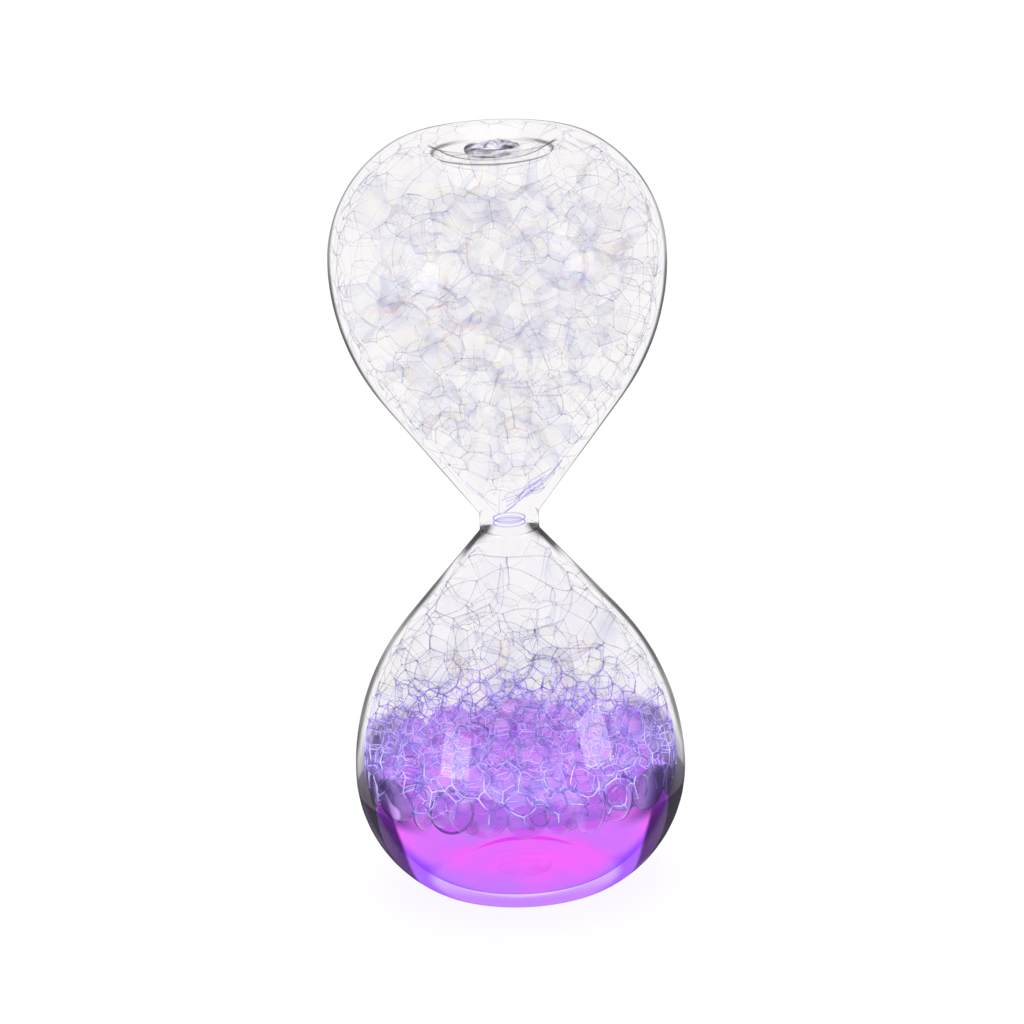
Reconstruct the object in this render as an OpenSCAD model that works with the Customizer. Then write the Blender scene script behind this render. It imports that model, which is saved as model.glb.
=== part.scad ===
// Bubble hourglass: two blown glass bulbs fused at a narrow waist, with soapy liquid and its foam
// sealed inside. The origin is the middle of the ring that it stands on, and +Z goes up the axis.
// Both bulbs are drawn from the waist outwards as [radius, height above the waist], and the lower
// one is the same drawing turned over.

/* [Bulbs] */
// Radius of each bulb at its widest circle
bulb_r = 32.5; // [27:0.5:39]
// Thickness of the blown wall
wall = 1.5; // [1.2:0.05:1.8]
// Upper bulb, from the waist to its widest circle
upper_cone_h = 52.5; // [43.5:0.5:63]
// Upper bulb, from its widest circle to the ring at its end
upper_crown_h = 23.5; // [19.5:0.5:28.5]
// Upper bulb, half-angle of the straight cone
upper_cone_angle = 36.8; // [30.5:0.1:44.5]
// Lower bulb, from the waist to its widest circle
lower_cone_h = 50.8; // [42:0.1:61]
// Lower bulb, from its widest circle to the ring it stands on
lower_crown_h = 23.2; // [19.3:0.1:28]
// Lower bulb, half-angle of the straight cone
lower_cone_angle = 40.3; // [33.5:0.1:48.5]
// Part of the crown's turn that its shoulder arc takes, before the tighter corner arc
shoulder_share = 0.8; // [0.65:0.05:0.9]

/* [Ends] */
// Radius of the ground ring at the upper end
upper_ring_r = 14.5; // [12:0.5:17.5]
// Radius of the ground ring at the lower end
lower_ring_r = 15; // [12.5:0.5:18]
// Width of the flat ground on each ring
ring_flat = 1.2; // [0.8:0.1:1.6]
// Depth of the hollow inside each ring
punt_depth = 3; // [2.4:0.1:3.6]
// Radius of the lip that rolls from the ring into the hollow
lip_r = 4; // [3.3:0.1:4.8]
// Radius of the flat middle of the hollow, where the bulb was sealed
seal_flat_r = 6.5; // [5.4:0.1:7.8]
// Radius of the blob of glass left by the sealing
seal_blob_r = 5.4; // [4.5:0.1:5.4]
// Radius of the snapped tip in the middle of the blob
seal_tip_r = 1.2; // [1:0.1:1.5]
// How far the seal stays below the level of the ring
seal_clear = 0.6; // [0.5:0.05:0.75]

/* [Waist] */
// Outer radius of the waist
waist_r = 5.8; // [5.2:0.1:7]
// Height of the straight band where the two necks are fused
weld_h = 3; // [2.5:0.1:3.6]
// Radius of the outer curve from the band into the cones
flare_r = 1.1; // [0.9:0.05:1.4]
// Radius of the opening that the liquid runs through
throat_r = 3.4; // [2.8:0.1:4]
// Height of the straight part of the opening
throat_h = 0.4; // [0.3:0.05:0.5]
// Radius of the inner curve from the opening into the cones
throat_flare_r = 3; // [2.5:0.1:3.6]

/* [Liquid and foam] */
// Clearance between the glass and what turns inside it
swirl_gap = 0.3; // [0.25:0.05:0.4]
// Level of the liquid above the surface that the glass stands on
liquid_level = 21; // [17.5:0.5:25]
// Thickness of the wet foam that floats on the liquid
wet_foam_h = 14; // [11.5:0.5:17]
// Foam-free length of cone below the waist
lower_clear_h = 5.8; // [5.2:0.1:7]
// Foam-free length of cone above the waist
upper_clear_h = 8; // [7.6:0.1:9.6]
// Number of large round bubbles between the liquid and the foam
surface_bubbles = 9; // [6:1:11]
// Radius of the largest of them
surface_bubble_r = 4.4; // [3.7:0.1:5.3]
// Number of small round bubbles that gather along the wall
rim_bubbles = 20; // [12:1:24]
// Radius of the largest of them
rim_bubble_r = 1.3; // [1.1:0.05:1.6]
// Clearance around the small bubbles
rim_bubble_gap = 0.3; // [0.25:0.05:0.4]

/* [Liquid at the waist] */
// Clearance between the ring of liquid and the glass opening
film_gap = 0.2; // [0.15:0.05:0.25]
// Width of the ring of liquid that borders the film
film_border_w = 0.6; // [0.5:0.05:0.75]
// Height of that ring
film_border_h = 1.2; // [1:0.1:1.5]
// Thickness of the film
film_t = 0.3; // [0.25:0.05:0.4]
// Height of the draining drop's lower end above the waist
drop_start = 3.4; // [2.9:0.1:3.6]
// Length of the draining drop, measured up the axis
drop_h = 4; // [3.4:0.1:4]
// Thickness of the draining drop on the wall
drop_t = 1.2; // [1:0.1:1.5]
// Angle of the wall that the draining drop covers
drop_angle = 70; // [58:1:84]

/* [Hidden] */
$fn = 96;

// One bulb's own sizes: cone height, crown height, cone half-angle, ring radius
UPPER = [upper_cone_h, upper_crown_h, upper_cone_angle, upper_ring_r];
LOWER = [lower_cone_h, lower_crown_h, lower_cone_angle, lower_ring_r];
waist_z = lower_cone_h + lower_crown_h;
band = weld_h / 2;
content = wall + swirl_gap;
seal_h = punt_depth - seal_clear;
seal_blob_h = seal_h * 0.6;

glass_colour = [0.86, 0.88, 0.92, 0.35];
liquid_colour = [0.62, 0.22, 0.93];
wet_foam_colour = [0.66, 0.58, 0.95];
dry_foam_colour = [0.87, 0.86, 0.94];
bubble_colour = [0.82, 0.72, 1];

// Points along an arc, without its first point when it follows another arc
function arc(c, r, from, to, steps, skip = 0) =
    [for (i = [skip:steps]) let (a = from + (to - from) * i / steps) c + r * [cos(a), sin(a)]];

function reversed(points) = [for (i = [len(points) - 1:-1:0]) points[i]];

function bulb_end(b) = b[0] + b[1];

// The belly arc that meets the widest circle and the straight cone
function belly_r(b) =
    ((b[0] - band) * sin(b[2]) - (bulb_r - waist_r - flare_r) * cos(b[2]) - flare_r)
    / (1 - cos(b[2]));

// Tilt from the axis of the straight line that leaves one circle and joins another from inside
function tangent_angle(p, q, radii) = atan2(q.x - p.x, q.y - p.y) + asin(radii / norm(q - p));

// Half-outline from the waist to the ring. A depth of 0 is the outside of the glass, wall is the
// inside, and anything more is that far into the hollow.
function bulb_side(b, depth) =
    let (
        outside = depth == 0,
        neck_c = outside ? [waist_r + flare_r, band] : [throat_r + throat_flare_r, throat_h / 2],
        neck_arc_r = outside ? flare_r : throat_flare_r + depth - wall,
        belly_c = [bulb_r - belly_r(b), b[0]],
        belly_arc_r = belly_r(b) - depth,
        a = tangent_angle(neck_c, belly_c, neck_arc_r + belly_arc_r),
        run = bulb_r - b[3] - ring_flat / 2,
        turn = shoulder_share * 2 * atan(run / b[1]),
        det = 1 - cos(turn) - sin(turn),
        shoulder_r = (run * (1 - sin(turn)) - b[1] * cos(turn)) / det,
        corner_r = (b[1] * (1 - cos(turn)) - run * sin(turn)) / det,
        shoulder_c = [bulb_r - shoulder_r, b[0]],
        corner_c = shoulder_c + (shoulder_r - corner_r) * [cos(turn), sin(turn)]
    )
    concat(
        arc(neck_c, neck_arc_r, 180, 180 - a, 6),
        arc(belly_c, belly_arc_r, -a, 0, 14),
        arc(shoulder_c, shoulder_r - depth, 0, turn, 10, 1),
        arc(corner_c, corner_r - depth, turn, 90, 6, 1)
    );

// Half-outline from the inner edge of the ring to the flat middle of the hollow
function bulb_cap(b, depth) =
    let (
        run = b[3] - ring_flat / 2 - seal_flat_r,
        turn = 2 * atan(punt_depth / run),
        dish_r = run / sin(turn) - lip_r,
        lip_c = [b[3] - ring_flat / 2, bulb_end(b) - lip_r],
        dish_c = [seal_flat_r, bulb_end(b) - punt_depth + dish_r]
    )
    concat(
        arc(lip_c, lip_r - depth, 90, 90 + turn, 5),
        arc(dish_c, dish_r + depth, 270 + turn, 270, 5, 1)
    );

function radius_at(side, h) = lookup(h, [for (p = side) [p.y, p.x]]);

// The stretch of an outline between two heights
function clip(side, low, high) = concat(
    [[radius_at(side, low), low]],
    [for (p = side) if (p.y > low && p.y < high) p],
    [[radius_at(side, high), high]]
);

module in_upper() {
    translate([0, 0, waist_z]) children();
}

module in_lower() {
    translate([0, 0, waist_z]) mirror([0, 0, 1]) children();
}

module bulb_shell(b) {
    inner = bulb_side(b, wall);
    rotate_extrude() polygon(concat(
        bulb_side(b, 0), bulb_cap(b, 0),
        [[0, bulb_end(b) - punt_depth], [0, bulb_end(b) - punt_depth - wall]],
        reversed(bulb_cap(b, wall)), reversed(clip(inner, band, bulb_end(b) - wall))
    ));
}

module upper_bulb() {
    color(glass_colour) in_upper() bulb_shell(UPPER);
}

module lower_bulb() {
    color(glass_colour) in_lower() bulb_shell(LOWER);
}

// The thick ring of glass where the two necks were melted together
module neck_weld() {
    upper_throat = clip(bulb_side(UPPER, wall), throat_h / 2, band);
    lower_throat = clip(bulb_side(LOWER, wall), throat_h / 2, band);
    color(glass_colour) in_upper() rotate_extrude() polygon(concat(
        [[waist_r, -band], [waist_r, band]],
        reversed(upper_throat), [for (p = lower_throat) [p.x, -p.y]]
    ));
}

// The blob and snapped tip that close the hole through which a bulb was blown and filled
module seal_tip(b) {
    floor_h = bulb_end(b) - punt_depth;
    tip_c = [0, floor_h + seal_h - seal_tip_r];
    edge_r = seal_blob_h / 2;
    edge_c = [seal_blob_r - edge_r, floor_h + edge_r];
    rotate_extrude() polygon(concat(
        [[0, floor_h], [edge_c.x, floor_h]],
        arc(edge_c, edge_r, -90, 90, 8, 1),
        [[seal_tip_r, floor_h + seal_blob_h]],
        arc(tip_c, seal_tip_r, 0, 90, 5)
    ));
}

module upper_seal_tip() {
    color(glass_colour) in_upper() seal_tip(UPPER);
}

module lower_seal_tip() {
    color(glass_colour) in_lower() seal_tip(LOWER);
}

// Heights below the waist of the levels in the lower bulb
level_s = waist_z - liquid_level;
wet_top_s = level_s - wet_foam_h;
lower_hollow = bulb_side(LOWER, content);
channel = rim_bubble_r + rim_bubble_gap;
rim_track_r = radius_at(lower_hollow, level_s) - rim_bubble_r;
channel_r = rim_track_r - channel;
surface_track_r = channel_r - surface_bubble_r - rim_bubble_gap;

// Both kinds of bubble vary in size and spacing by a rule
function bubble_size(i) = 0.72 + 0.28 * sin(i * 137);
function bubble_turn(i, count) = (i + 0.18 * sin(i * 101)) * 360 / count;

module bubble_ring(count, track_r, largest_r) {
    for (i = [0:count - 1])
        rotate([0, 0, bubble_turn(i, count)])
            translate([track_r, 0, liquid_level])
                sphere(r = largest_r * bubble_size(i), $fn = 32);
}

module liquid() {
    hollow_end = bulb_end(LOWER) - content;
    color(liquid_colour) difference() {
        in_lower() rotate_extrude() polygon(concat(
            [[0, level_s], [channel_r, level_s], [channel_r, level_s + channel]],
            clip(lower_hollow, level_s + channel, hollow_end),
            bulb_cap(LOWER, content), [[0, hollow_end - punt_depth]]
        ));
        bubble_ring(surface_bubbles, surface_track_r, surface_bubble_r);
    }
}

module wet_foam() {
    color(wet_foam_colour) difference() {
        in_lower() rotate_extrude() polygon(concat(
            [[0, wet_top_s]], clip(lower_hollow, wet_top_s, level_s - channel),
            [[channel_r, level_s - channel], [channel_r, level_s], [0, level_s]]
        ));
        bubble_ring(surface_bubbles, surface_track_r, surface_bubble_r);
    }
}

module surface_bubbles() {
    color(bubble_colour) bubble_ring(surface_bubbles, surface_track_r, surface_bubble_r);
}

module rim_bubbles() {
    color(bubble_colour) bubble_ring(rim_bubbles, rim_track_r, rim_bubble_r);
}

module lower_foam() {
    color(dry_foam_colour) in_lower() rotate_extrude() polygon(concat(
        [[0, lower_clear_h]], clip(lower_hollow, lower_clear_h, wet_top_s), [[0, wet_top_s]]
    ));
}

module upper_foam() {
    hollow_end = bulb_end(UPPER) - content;
    color(dry_foam_colour) in_upper() rotate_extrude() polygon(concat(
        [[0, upper_clear_h]], clip(bulb_side(UPPER, content), upper_clear_h, hollow_end),
        bulb_cap(UPPER, content), [[0, hollow_end - punt_depth]]
    ));
}

// Liquid that drains from the upper foam down one side of the cone
module draining_drop() {
    on_wall = clip(bulb_side(UPPER, content), drop_start, drop_start + drop_h);
    inner = [for (p = on_wall) p - [drop_t, 0]];
    color(liquid_colour) in_upper() rotate([0, 0, -drop_angle / 2 - 20])
        rotate_extrude(angle = drop_angle) polygon(concat(on_wall, reversed(inner)));
}

module neck_film() {
    color(dry_foam_colour) in_upper()
        cylinder(r = throat_r - film_gap - film_border_w, h = film_t, center = true);
}

// Ring of liquid that holds the film against the glass
module film_border() {
    border_r = throat_r - film_gap;
    color(liquid_colour) in_upper() difference() {
        cylinder(r = border_r, h = film_border_h, center = true);
        cylinder(r = border_r - film_border_w, h = 2 * film_border_h, center = true);
    }
}

upper_bulb();
lower_bulb();
neck_weld();
upper_seal_tip();
lower_seal_tip();
liquid();
wet_foam();
surface_bubbles();
rim_bubbles();
lower_foam();
upper_foam();
draining_drop();
neck_film();
film_border();
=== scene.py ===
# %% [markdown]
# # A bubble hourglass
# Two blown bulbs hold soapy purple liquid and foam instead of sand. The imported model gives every
# size, so this lesson starts by loading it and keeps its box to compare with at the end.

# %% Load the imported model
import bmesh
import bpy
import math
import random
from mathutils import Matrix, Vector
from mathutils.geometry import intersect_point_line
from mathutils.kdtree import KDTree


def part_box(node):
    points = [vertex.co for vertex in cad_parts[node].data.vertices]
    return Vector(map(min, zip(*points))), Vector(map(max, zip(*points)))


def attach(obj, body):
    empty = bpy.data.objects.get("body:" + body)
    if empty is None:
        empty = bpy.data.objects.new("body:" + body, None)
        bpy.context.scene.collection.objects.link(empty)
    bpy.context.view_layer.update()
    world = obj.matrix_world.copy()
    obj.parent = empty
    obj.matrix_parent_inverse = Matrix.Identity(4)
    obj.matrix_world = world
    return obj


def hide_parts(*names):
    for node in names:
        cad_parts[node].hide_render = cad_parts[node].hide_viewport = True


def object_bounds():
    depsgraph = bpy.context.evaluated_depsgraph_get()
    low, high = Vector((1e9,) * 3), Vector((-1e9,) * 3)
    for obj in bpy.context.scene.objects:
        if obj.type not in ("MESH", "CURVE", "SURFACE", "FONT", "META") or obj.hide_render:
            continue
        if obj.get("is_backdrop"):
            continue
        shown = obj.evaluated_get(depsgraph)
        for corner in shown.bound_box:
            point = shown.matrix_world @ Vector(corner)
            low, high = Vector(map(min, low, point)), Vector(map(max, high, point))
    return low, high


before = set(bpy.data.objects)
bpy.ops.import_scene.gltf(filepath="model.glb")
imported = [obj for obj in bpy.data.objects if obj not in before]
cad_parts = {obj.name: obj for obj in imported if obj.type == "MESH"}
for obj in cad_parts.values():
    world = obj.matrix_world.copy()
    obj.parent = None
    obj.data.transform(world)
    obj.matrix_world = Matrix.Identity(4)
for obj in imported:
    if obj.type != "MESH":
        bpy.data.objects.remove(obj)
cad_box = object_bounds()
MM = 0.001
scene = bpy.context.scene
print("the model's box, in metres:", [[round(part, 4) for part in corner] for corner in cad_box])

# %% [markdown]
# ## The camera
# A small glass looks best from almost a metre away through a long lens, so that its far side
# looks nearly as large as its near side. The camera looks down at the waist, because both bulbs
# are built outwards from it. A camera held by hand is never quite level, so it gets a little roll.

# %% Aim the camera at the waist
waist = (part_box("neck_weld")[0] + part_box("neck_weld")[1]) / 2
view_height = math.radians(17.1)
view_distance = 0.926
view_roll = math.radians(-2.65)
camera_data = bpy.data.cameras.new("camera")
camera_data.lens = 167.6
camera_data.sensor_width = 36
camera_data.shift_x = 0.0027
camera_data.shift_y = 0.0076
camera = bpy.data.objects.new("camera", camera_data)
camera.location = waist + view_distance * Vector((0, -math.cos(view_height), math.sin(view_height)))
tilt = Matrix.Rotation(math.pi / 2 - view_height, 4, "X")
roll = Matrix.Rotation(view_roll, 4, "Z")
camera.rotation_euler = (tilt @ roll).to_euler()
scene.collection.objects.link(camera)
scene.camera = camera
print("the camera stands", round(camera.location.z, 3), "m above the floor")

# %% [markdown]
# ## Shader sums as Python sums
# A finish is a sum of patterns, and sums are easiest to read as sums. A Value wraps one socket and
# turns +, - and * into Math nodes. A Finish is one material, and its add method makes any other
# node: settings first, then the values or links of its sockets.

# %% Value and Finish
class Value:
    def __init__(self, finish, socket):
        self.finish = finish
        self.socket = socket

    def sum(self, operation, *parts):
        return self.finish.add("ShaderNodeMath", {"operation": operation}, dict(enumerate(parts)))

    def __add__(self, other):
        return self.sum("ADD", self, other)

    def __sub__(self, other):
        return self.sum("SUBTRACT", self, other)

    def __rsub__(self, other):
        return self.sum("SUBTRACT", other, self)

    def __mul__(self, other):
        return self.sum("MULTIPLY", self, other)

    __radd__ = __add__
    __rmul__ = __mul__


class Finish:
    def __init__(self, name):
        self.material = bpy.data.materials.new(name)
        self.material.use_nodes = True
        self.nodes = self.material.node_tree.nodes
        self.links = self.material.node_tree.links
        self.nodes.clear()

    def add(self, kind, settings=None, inputs=None, output=0):
        node = self.nodes.new(kind)
        for name, value in (settings or {}).items():
            setattr(node, name, value)
        for name, value in (inputs or {}).items():
            if isinstance(value, Value):
                self.links.new(value.socket, node.inputs[name])
            else:
                node.inputs[name].default_value = value
        return Value(self, node.outputs[output])

    def done(self, shader):
        end = self.nodes.new("ShaderNodeOutputMaterial")
        self.links.new(shader.socket, end.inputs["Surface"])
        return self.material


# %% [markdown]
# ## The handful of patterns that the finishes share
# Thin glass and soap film are seen in what they take away from the light behind them. A
# Transparent shader with a tint does that without any grain, so a finish here is mostly a mix of
# a clear tint and a darker one. What moves the mix is how edge-on the surface is (facing), its
# height, or a cloudy noise. Gloss is a small Principled share on top.

# %% Small tools for patterns
def facing(finish):
    """0 where the surface looks at the eye and 1 where it is edge-on."""
    return finish.add("ShaderNodeLayerWeight", {}, {"Blend": 0.5}, output="Facing")


def place(finish):
    return finish.add("ShaderNodeTexCoord", {}, {}, output="Object")


def height(finish):
    return finish.add("ShaderNodeSeparateXYZ", {}, {0: place(finish)}, output="Z")


def cloud(finish, size, detail, stretch=(1, 1, 1)):
    """Noise from 0 to 1 whose blobs are about size wide, in metres."""
    where = finish.add("ShaderNodeMapping", {}, {"Vector": place(finish), "Scale": stretch})
    noise = {"Vector": where, "Scale": 1 / size, "Detail": detail}
    return finish.add("ShaderNodeTexNoise", {}, noise, output="Fac")


def rise(finish, value, low, high, to_low=0.0, to_high=1.0):
    """A smooth step of value from low to high."""
    sockets = {"Value": value, "From Min": low, "From Max": high}
    sockets.update({"To Min": to_low, "To Max": to_high})
    return finish.add("ShaderNodeMapRange", {"interpolation_type": "SMOOTHSTEP"}, sockets)


def hump(finish, value, start, top, end):
    """0 outside start and end, and 1 at top."""
    return rise(finish, value, start, top) * rise(finish, value, top, end, 1.0, 0.0)


def clear(finish, tint=(1, 1, 1)):
    return finish.add("ShaderNodeBsdfTransparent", {}, {"Color": (*tint, 1)})


def mix(finish, factor, first, second):
    return finish.add("ShaderNodeMixShader", {}, {0: factor, 1: first, 2: second})


def shine(finish, colour, roughness, inputs=None):
    sockets = {"Base Color": (*colour, 1), "Roughness": roughness, **(inputs or {})}
    return finish.add("ShaderNodeBsdfPrincipled", {}, sockets)


def gleam(finish, colour, roughness, inputs=None):
    """Pure reflection, for the gloss on something clear."""
    return shine(finish, colour, roughness, {"Metallic": 1.0, **(inputs or {})})


def milky_glowing(finish, colour, glow, strength):
    """A cloudy skin of soap and air, with a painted glow for the light it scatters."""
    return shine(finish, colour, 0.2, {"Emission Color": (*glow, 1), "Emission Strength": strength})


def radius(finish):
    """How far the spot is from the glass's own axis."""
    level = {0: place(finish), 1: (1, 1, 0)}
    flat = finish.add("ShaderNodeVectorMath", {"operation": "MULTIPLY"}, level)
    return finish.add("ShaderNodeVectorMath", {"operation": "LENGTH"}, {0: flat}, output="Value")


# %% [markdown]
# ## Floor and light
# White seamless paper runs under the glass and out of sight, and it is lit until it is as white as
# the sky behind it. A part of its light is its own glow, so that the glass throws hardly any
# shadow. Two soft boxes stand in front, left and right, and a third hangs overhead and a little
# behind: they are what the glass and the bubbles reflect.

# %% Floor, sky and soft boxes
scene.view_settings.view_transform = "Standard"
scene.cycles.transparent_max_bounces = 256
scene.cycles.max_bounces = 6
scene.cycles.caustics_reflective = False
scene.cycles.caustics_refractive = False

paper = Finish("white_paper")
paper_glow = {"Emission Color": (1, 1, 1, 1), "Emission Strength": 0.90, "Specular IOR Level": 0.0}
floor_size = 60.0
floor_mesh = bpy.data.meshes.new("floor")
floor_shape = bmesh.new()
bmesh.ops.create_grid(floor_shape, x_segments=4, y_segments=4, size=floor_size / 2)
floor_shape.to_mesh(floor_mesh)
floor_shape.free()
floor = bpy.data.objects.new("floor", floor_mesh)
floor_mesh.materials.append(paper.done(shine(paper, (0.1, 0.1, 0.1), 0.9, paper_glow)))
scene.collection.objects.link(floor)
floor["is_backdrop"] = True

sky = bpy.data.worlds.new("sky")
scene.world = sky
sky.use_nodes = True
sky.node_tree.nodes["Background"].inputs["Color"].default_value = (1.0, 1.0, 1.0, 1)
sky.node_tree.nodes["Background"].inputs["Strength"].default_value = 1.02


def soft_box(name, azimuth, elevation, distance, size, power):
    """A square lamp that looks at the waist; azimuth 0 is straight in front."""
    lamp = bpy.data.lights.new(name, "AREA")
    lamp.shape = "SQUARE"
    lamp.size = size
    lamp.energy = power
    lamp_object = bpy.data.objects.new(name, lamp)
    side = math.radians(azimuth)
    lift = math.radians(elevation)
    towards = Vector((math.sin(side) * math.cos(lift), -math.cos(side) * math.cos(lift), math.sin(lift)))
    lamp_object.location = waist + distance * towards
    lamp_object.rotation_euler = towards.to_track_quat("Z", "Y").to_euler()
    lamp_object.visible_camera = False
    scene.collection.objects.link(lamp_object)
    print(name, "at", [round(part, 2) for part in lamp_object.location])


soft_box("left_soft_box", -46, 6, 0.9, 0.33, 1.6)
soft_box("right_soft_box", 56, 9, 0.9, 0.36, 1.9)
soft_box("overhead_soft_box", 180, 75, 1.2, 0.8, 8)

# %% [markdown]
# ## Putting a finished mesh in the scene
# Every piece goes the same way: its mesh gets smooth shading and its finishes, its object stays at
# the origin, it rides on one of the model's bodies, and it hides the plain solid that it stands for.

# %% One way to make a piece
def piece(name, shape, finishes, body, replaces=()):
    mesh = bpy.data.meshes.new(name)
    for face in shape.faces:
        face.smooth = True
    shape.to_mesh(mesh)
    shape.free()
    for finish in finishes:
        mesh.materials.append(finish)
    made = bpy.data.objects.new(name, mesh)
    scene.collection.objects.link(made)
    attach(made, body)
    if replaces:
        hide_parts(*replaces)
    mesh.calc_loop_triangles()
    print(f"{name}: {len(mesh.loop_triangles)} triangles")
    return made


# %% [markdown]
# ## The outline of a bulb
# The model's bulbs are made of flat strips. A glass blower's bulb has no strips, so its outline is
# read from the model and turned again with more steps. Seen from the middle of the belly, every
# point of the outline lies in its own direction, so sorting the points by that direction puts them
# in order. The same wall, seen from inside, later tells the foam where it ends.

# %% Read an outline
HAIR = 0.01 * MM  # two heights that are closer than this count as one


class Wall:
    """One side of a bulb's wall: its radius and height, in order around the belly's middle."""

    def __init__(self, node, inside, gap=0.0):
        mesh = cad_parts[node].data
        low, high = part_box(node)
        self.middle = max(mesh.vertices, key=lambda vertex: vertex.co.x).co.z
        self.neck = high.z if high.z - self.middle > self.middle - low.z else low.z
        rings = set()
        for face in mesh.polygons:
            arm = face.center - Vector((0, 0, self.middle))
            at_cut = abs(face.center.z - self.neck) < HAIR
            if not at_cut and (face.normal.dot(arm) < 0) == inside:
                corners = (mesh.vertices[index].co for index in face.vertices)
                rings.update((round(c.xy.length, 5), round(c.z, 5)) for c in corners)
        spots = sorted(rings, key=lambda ring: math.atan2(ring[1] - self.middle, ring[0]))
        self.points = [Vector((r, z)) for r, z in spots]
        self.turns = [math.atan2(p.y - self.middle, p.x) for p in self.points]
        self.arms = [math.hypot(p.x, p.y - self.middle) - gap for p in self.points]

    def reach(self, turn):
        """How far the wall is from the middle of the belly, in one direction."""
        if turn <= self.turns[0]:
            return self.arms[0]
        for index in range(1, len(self.turns)):
            if turn <= self.turns[index]:
                span = self.turns[index] - self.turns[index - 1]
                share = (turn - self.turns[index - 1]) / max(span, 1e-9)
                return self.arms[index - 1] * (1 - share) + self.arms[index] * share
        return self.arms[-1]

    def room(self, spot):
        """How far the spot is from the wall, measured outwards from the middle."""
        radius = spot.xy.length
        rest = spot.z - self.middle
        return self.reach(math.atan2(rest, radius)) - math.hypot(radius, rest)

    def onto(self, spot):
        """The point of the wall that lies in the spot's direction."""
        arm = spot - Vector((0, 0, self.middle))
        turn = math.atan2(arm.z, arm.xy.length)
        return Vector((0, 0, self.middle)) + arm.normalized() * self.reach(turn)

    def outline(self):
        """The wall as points of radius and height, with the gap taken off."""
        pairs = zip(self.turns, self.arms)
        return [Vector((arm * math.cos(turn), self.middle + arm * math.sin(turn))) for turn, arm in pairs]

    def mirrored(self, spot):
        """The spot's mirror image behind the nearest stretch of wall."""
        flat = Vector((spot.xy.length, spot.z))
        nearest = None
        outline = self.outline()
        for first, second in zip(outline, outline[1:]):
            foot, share = intersect_point_line(flat, first, second)
            foot = first if share < 0 else second if share > 1 else foot
            if nearest is None or (foot - flat).length < (nearest - flat).length:
                nearest = foot
        image = 2 * nearest - flat
        around = spot.xy.normalized() if flat.x > 0 else Vector((1, 0))
        return Vector((around.x * image.x, around.y * image.x, image.y))


upper_outside = Wall("upper_bulb", inside=False)
upper_inside = Wall("upper_bulb", inside=True)
lower_outside = Wall("lower_bulb", inside=False)
lower_inside = Wall("lower_bulb", inside=True)
print("bellies at", round(lower_outside.middle, 4), "and", round(upper_outside.middle, 4))

# %% [markdown]
# ## Clear glass
# Clear glass in front of a white wall shows almost only its rim: there the light is bent away to
# the dark of the room, which draws a thin grey line along the edge. It could be traced as real
# glass, but that takes many samples to lose its grain, so the finish paints what the bending
# would show, by how edge-on the surface is. Inside the line, a web of lilac-grey cell edges
# stands for the foam that the curve of the wall carries outwards.

# %% The foam that shows near the edge of the glass
GLASS_TINT = (0.955, 0.945, 0.947)
# The tint of the painted shade along the edge and under the waist.
GLASS_SHADE = (0.10, 0.09, 0.11)
WEB_TINT = (0.62, 0.61, 0.70)
web_cell = 5.5 * MM


def foam_web(finish, edge):
    """The borders of the foam behind, which the curve of the wall carries out to its edge."""
    where = {"Vector": place(finish), "Scale": 1 / web_cell}
    settings = {"feature": "DISTANCE_TO_EDGE"}
    gap = finish.add("ShaderNodeTexVoronoi", settings, where, output="Distance")
    return rise(finish, gap, 0.0, 0.045, 1.0, 0.0) * hump(finish, edge, 0.45, 0.68, 0.93) * 0.8


# %% [markdown]
# ## The wall of the filled bulb
# Below the waterline the liquid seems to reach the glass's own edge. Along the bottom its rim is
# violet, and deeper in colour where the glass curves under. The flanks bend the light so far that
# they show the dark of the room, which is painted shade, with a painted lilac sheen in places. The
# painted shade fades out a few millimetres above the waterline, where the wall is still wet, and a
# few dark patches of painted shade sit there, where the wall turns away.

# %% Rim, and painted shade on the flanks and in patches
RIM_LOW = (0.60, 0.22, 1.0)
RIM_HIGH = (0.72, 0.44, 1.0)
FLANK_INNER = (0.10, 0.08, 0.15)
FLANK_OUTER = (0.18, 0.16, 0.20)
FLANK_SHEEN = (0.72, 0.62, 0.94)
# The tint of the dark patches of painted shade.
PATCH_SHADE = (0.15, 0.07, 0.27)
rim_heights = (3.5 * MM, 8 * MM)
foot_radii = (17 * MM, 20 * MM)


def tipped(finish):
    """0 where the surface stands upright, and 1 where it lies flat."""
    normal = finish.add("ShaderNodeNewGeometry", {}, {}, output="Normal")
    lean = finish.add("ShaderNodeSeparateXYZ", {}, {0: normal}, output="Z")
    return lean * lean


def shade_patches(finish, edge, level):
    """Painted shade in dark patches where the wall turns away, from just under the waterline to a little
    above it.
    """
    up = height(finish)
    above = rise(finish, up, level - 3 * MM, level)
    above = above * rise(finish, up, level + 6 * MM, level + 9 * MM, 1.0, 0.0)
    spots = rise(finish, cloud(finish, 9 * MM, 1.0), 0.40, 0.44)
    return hump(finish, edge, 0.24, 0.46, 0.80) * above * spots


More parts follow.
